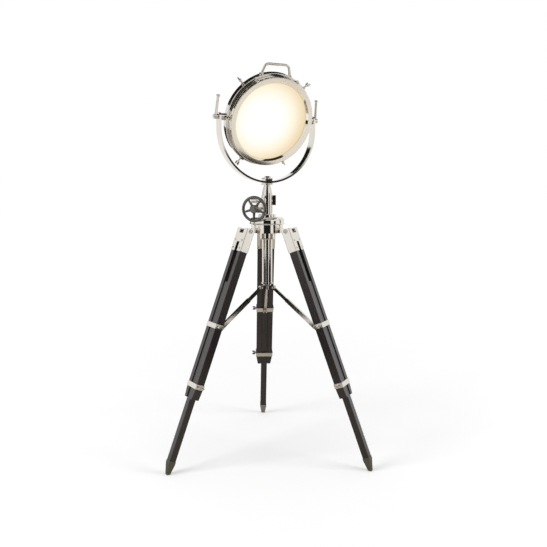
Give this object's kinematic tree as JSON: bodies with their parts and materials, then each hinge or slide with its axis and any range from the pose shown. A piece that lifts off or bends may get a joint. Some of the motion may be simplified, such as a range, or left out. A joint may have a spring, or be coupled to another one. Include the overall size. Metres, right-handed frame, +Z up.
{
  "type": "tripod floor lamp",
  "caption": "Spotlight floor lamp on a folding wooden tripod, with a crank-lifted column and a round metal head that swivels and tilts in a yoke.",
  "frame": {"origin": "middle of the footprint box at floor level", "axes": "+Z up along the column; -Y towards the side between the two front legs; +X to the right seen from there; one leg points to +Y"},
  "size_m": [0.8494, 0.7382, 1.6415],
  "materials": {
    "polished_metal": "polished",
    "dark_nickel": "polished, dark",
    "foot_metal": "satin",
    "dark_wood": "satin, very dark brown stain",
    "frosted_glass": "frosted, lit from behind",
    "gasket": "matte",
    "reflector": "bright spun",
    "holder": "matte",
    "bulb_glass": "frosted",
    "gland": "matte"
  },
  "bodies": {
    "base": {"crown": "polished_metal", "column_sleeve": "polished_metal", "sleeve_cap": "polished_metal", "spider_hub": "polished_metal", "hinge_bolts": "polished_metal", "spider_pins": "polished_metal", "gear_housing": "polished_metal", "clamp_screws": "polished_metal"},
    "lock": {"lock_knob": "polished_metal"},
    "wheel": {"pinion_shaft": "polished_metal", "handwheel": "dark_nickel"},
    "column": {"inner_column": "polished_metal", "column_bush": "polished_metal", "column_head": "polished_metal", "swivel_nut": "polished_metal"},
    "yoke_frame": {"yoke": "polished_metal"},
    "head": {"drum": "polished_metal", "rear_cover": "polished_metal", "bezel": "polished_metal", "lens": "frosted_glass", "lens_gasket": "gasket", "reflector": "reflector", "lamp_holder": "holder", "bulb": "bulb_glass", "trunnions": "polished_metal", "bezel_fasteners": "polished_metal", "carry_handle": "polished_metal", "cable_gland": "gland"},
    "clamp_left": {"lever_left": "polished_metal"},
    "clamp_right": {"lever_right": "polished_metal"},
    "leg_left": {"leg_left_cap": "polished_metal", "leg_left_rails": "dark_wood", "leg_left_bands": "polished_metal", "leg_left_screws": "polished_metal"},
    "extension_left": {"leg_left_slider": "dark_wood", "leg_left_foot": "foot_metal"},
    "upper_wing_left": {"leg_left_upper_wing_screw": "polished_metal"},
    "lower_wing_left": {"leg_left_lower_wing_screw": "polished_metal"},
    "strut_bar_left": {"leg_left_strut_bar": "polished_metal"},
    "strut_channel_left": {"leg_left_strut_channel": "polished_metal"},
    "leg_right": {"leg_right_cap": "polished_metal", "leg_right_rails": "dark_wood", "leg_right_bands": "polished_metal", "leg_right_screws": "polished_metal"},
    "extension_right": {"leg_right_slider": "dark_wood", "leg_right_foot": "foot_metal"},
    "upper_wing_right": {"leg_right_upper_wing_screw": "polished_metal"},
    "lower_wing_right": {"leg_right_lower_wing_screw": "polished_metal"},
    "strut_bar_right": {"leg_right_strut_bar": "polished_metal"},
    "strut_channel_right": {"leg_right_strut_channel": "polished_metal"},
    "leg_back": {"leg_back_cap": "polished_metal", "leg_back_rails": "dark_wood", "leg_back_bands": "polished_metal", "leg_back_screws": "polished_metal"},
    "extension_back": {"leg_back_slider": "dark_wood", "leg_back_foot": "foot_metal"},
    "upper_wing_back": {"leg_back_upper_wing_screw": "polished_metal"},
    "lower_wing_back": {"leg_back_lower_wing_screw": "polished_metal"},
    "strut_bar_back": {"leg_back_strut_bar": "polished_metal"},
    "strut_channel_back": {"leg_back_strut_channel": "polished_metal"}
  },
  "joints": [
    {"name": "fold_left", "type": "hinge", "parent": "base", "child": "leg_left", "pos_m": [-0.09137, -0.16913, 0.97279], "axis": [0.5, -0.866, 0], "range_deg": [0, 15]},
    {"name": "strut_swing_left", "type": "hinge", "parent": "base", "child": "strut_bar_left", "pos_m": [-0.02598, -0.13138, 0.72879], "axis": [0.5, -0.866, 0], "range_deg": [-0.5, 24.3]},
    {"name": "strut_slide_left", "type": "slide", "parent": "strut_bar_left", "child": "strut_channel_left", "axis": [-0.6818, -0.3936, -0.6166], "range_m": [-0.05831, 0.001]},
    {"name": "extend_left", "type": "slide", "parent": "leg_left", "child": "extension_left", "axis": [-0.3132, -0.1808, -0.9323], "range_m": [-0.2, 0.35]},
    {"name": "upper_wing_turn_left", "type": "hinge", "parent": "leg_left", "child": "upper_wing_left", "pos_m": [-0.20024, -0.27818, 0.58913], "axis": [0.5, -0.866, 0], "range_deg": [0, 540]},
    {"name": "lower_wing_turn_left", "type": "hinge", "parent": "leg_left", "child": "lower_wing_left", "pos_m": [-0.28032, -0.32441, 0.35074], "axis": [0.5, -0.866, 0], "range_deg": [0, 540]},
    {"name": "fold_right", "type": "hinge", "parent": "base", "child": "leg_right", "pos_m": [0.09137, -0.16913, 0.97279], "axis": [0.5, 0.866, 0], "range_deg": [0, 15]},
    {"name": "strut_swing_right", "type": "hinge", "parent": "base", "child": "strut_bar_right", "pos_m": [0.02598, -0.13138, 0.72879], "axis": [0.5, 0.866, 0], "range_deg": [-0.5, 24.3]},
    {"name": "strut_slide_right", "type": "slide", "parent": "strut_bar_right", "child": "strut_channel_right", "axis": [0.6818, -0.3936, -0.6166], "range_m": [-0.05831, 0.001]},
    {"name": "extend_right", "type": "slide", "parent": "leg_right", "child": "extension_right", "axis": [0.3132, -0.1808, -0.9323], "range_m": [-0.2, 0.35]},
    {"name": "upper_wing_turn_right", "type": "hinge", "parent": "leg_right", "child": "upper_wing_right", "pos_m": [0.24024, -0.20889, 0.58913], "axis": [0.5, 0.866, 0], "range_deg": [0, 540]},
    {"name": "lower_wing_turn_right", "type": "hinge", "parent": "leg_right", "child": "lower_wing_right", "pos_m": [0.32032, -0.25513, 0.35074], "axis": [0.5, 0.866, 0], "range_deg": [0, 540]},
    {"name": "fold_back", "type": "hinge", "parent": "base", "child": "leg_back", "pos_m": [0, -0.01088, 0.97279], "axis": [-1, 0, 0], "range_deg": [0, 15]},
    {"name": "strut_swing_back", "type": "hinge", "parent": "base", "child": "strut_bar_back", "pos_m": [0, -0.08638, 0.72879], "axis": [-1, 0, 0], "range_deg": [-0.5, 24.3]},
    {"name": "strut_slide_back", "type": "slide", "parent": "strut_bar_back", "child": "strut_channel_back", "axis": [0, 0.7873, -0.6166], "range_m": [-0.05831, 0.001]},
    {"name": "extend_back", "type": "slide", "parent": "leg_back", "child": "extension_back", "axis": [0, 0.3616, -0.9323], "range_m": [-0.2, 0.35]},
    {"name": "upper_wing_turn_back", "type": "hinge", "parent": "leg_back", "child": "upper_wing_back", "pos_m": [-0.04, 0.13793, 0.58913], "axis": [-1, 0, 0], "range_deg": [0, 540]},
    {"name": "lower_wing_turn_back", "type": "hinge", "parent": "leg_back", "child": "lower_wing_back", "pos_m": [-0.04, 0.23039, 0.35074], "axis": [-1, 0, 0], "range_deg": [0, 540]},
    {"name": "lock_turn", "type": "hinge", "parent": "base", "child": "lock", "pos_m": [-0.04063, -0.0995, 1.09529], "axis": [-0.9235, 0.3837, 0], "range_deg": [0, 360]},
    {"name": "lift", "type": "slide", "parent": "base", "child": "column", "axis": [0, 0, 1], "range_m": [0, 0.25]},
    {"name": "wheel_turn", "type": "hinge", "parent": "base", "child": "wheel", "pos_m": [-0.02216, -0.10717, 1.06429], "axis": [-0.3837, -0.9235, 0], "range_deg": [-1, 1196]},
    {"name": "swivel", "type": "hinge", "parent": "column", "child": "yoke_frame", "pos_m": [0, -0.11638, 1.16829], "axis": [0, 0, 1], "range_deg": [-170, 170]},
    {"name": "tilt", "type": "hinge", "parent": "yoke_frame", "child": "head", "pos_m": [0, -0.11638, 1.43329], "axis": [-0.9143, -0.4051, 0], "range_deg": [-65, 110]},
    {"name": "left_clamp_turn", "type": "hinge", "parent": "head", "child": "clamp_left", "pos_m": [-0.20571, -0.20754, 1.43329], "axis": [-0.9143, -0.4051, 0], "range_deg": [-75, 75]},
    {"name": "right_clamp_turn", "type": "hinge", "parent": "head", "child": "clamp_right", "pos_m": [0.20571, -0.02522, 1.43329], "axis": [0.9143, 0.4051, 0], "range_deg": [-75, 75]}
  ],
  "couplings": [
    {"joint": "strut_swing_left", "follows": "fold_left", "ratio": 1.5866},
    {"joint": "strut_slide_left", "follows": "fold_left", "m_per_rad": -0.21891},
    {"joint": "strut_swing_right", "follows": "fold_right", "ratio": 1.5866},
    {"joint": "strut_slide_right", "follows": "fold_right", "m_per_rad": -0.21891},
    {"joint": "strut_swing_back", "follows": "fold_back", "ratio": 1.5866},
    {"joint": "strut_slide_back", "follows": "fold_back", "m_per_rad": -0.21891},
    {"joint": "wheel_turn", "follows": "lift", "rad_per_m": 83.333}
  ]
}
